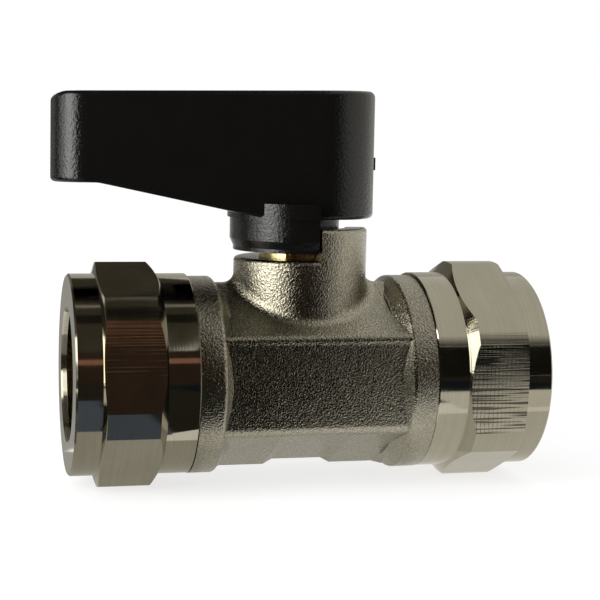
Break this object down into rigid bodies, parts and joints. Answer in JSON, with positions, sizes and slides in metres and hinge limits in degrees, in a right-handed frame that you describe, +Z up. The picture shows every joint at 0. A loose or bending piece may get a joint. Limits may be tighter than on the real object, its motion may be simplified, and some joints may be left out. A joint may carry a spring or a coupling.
{
  "type": "isolating valve",
  "caption": "In-line quarter-turn ball valve with compression ends for copper pipe, a forged plated body and a black lever whose skirt stops against a lug on the boss.",
  "frame": {"origin": "centre of the ball, where the pipe line crosses the stem axis", "axes": "+X along the pipe line towards the end that takes the seat retainer, +Z up the stem towards the lever, -Y towards the side with the stop lug's open face"},
  "size_m": [0.0572, 0.0256, 0.0463],
  "materials": {
    "plated_body": "nickel plated, blasted",
    "plated_nut": "nickel plated, turned and polished",
    "plain_brass": "machined",
    "ball_chrome": "polished",
    "ptfe": "machined",
    "ring_rubber": "moulded",
    "lever_plastic": "moulded, finely pebbled",
    "screw_steel": "zinc plated"
  },
  "bodies": {
    "body": {"valve_body": "plated_body", "gland_bush": "plain_brass", "stem_washer": "ptfe", "seat_left": "ptfe", "seat_right": "ptfe", "seat_retainer": "plain_brass"},
    "lever": {"lever_handle": "lever_plastic", "lever_screw": "screw_steel", "stem": "plain_brass", "ball": "ball_chrome", "stem_o_ring_lower": "ring_rubber", "stem_o_ring_upper": "ring_rubber"},
    "olive_left": {"olive_left": "plain_brass"},
    "nut_left": {"nut_left": "plated_nut"},
    "olive_right": {"olive_right": "plain_brass"},
    "nut_right": {"nut_right": "plated_nut"}
  },
  "joints": [
    {"name": "lever_turn", "type": "hinge", "parent": "body", "child": "lever", "pos_m": [0, 0, 0], "axis": [0, 0, 1], "range_deg": [-90, 0]},
    {"name": "nut_left_travel", "type": "slide", "parent": "body", "child": "olive_left", "axis": [-1, 0, 0], "range_m": [0, 0.0064]},
    {"name": "nut_left_turn", "type": "hinge", "parent": "olive_left", "child": "nut_left", "pos_m": [-0.02, 0, 0], "axis": [-1, 0, 0], "range_deg": [0, 1260]},
    {"name": "nut_right_travel", "type": "slide", "parent": "body", "child": "olive_right", "axis": [1, 0, 0], "range_m": [0, 0.0064]},
    {"name": "nut_right_turn", "type": "hinge", "parent": "olive_right", "child": "nut_right", "pos_m": [0.02, 0, 0], "axis": [1, 0, 0], "range_deg": [0, 1260]}
  ],
  "couplings": [
    {"joint": "nut_left_travel", "follows": "nut_left_turn", "m_per_rad": 0.00028871},
    {"joint": "nut_right_travel", "follows": "nut_right_turn", "m_per_rad": 0.00028871}
  ]
}
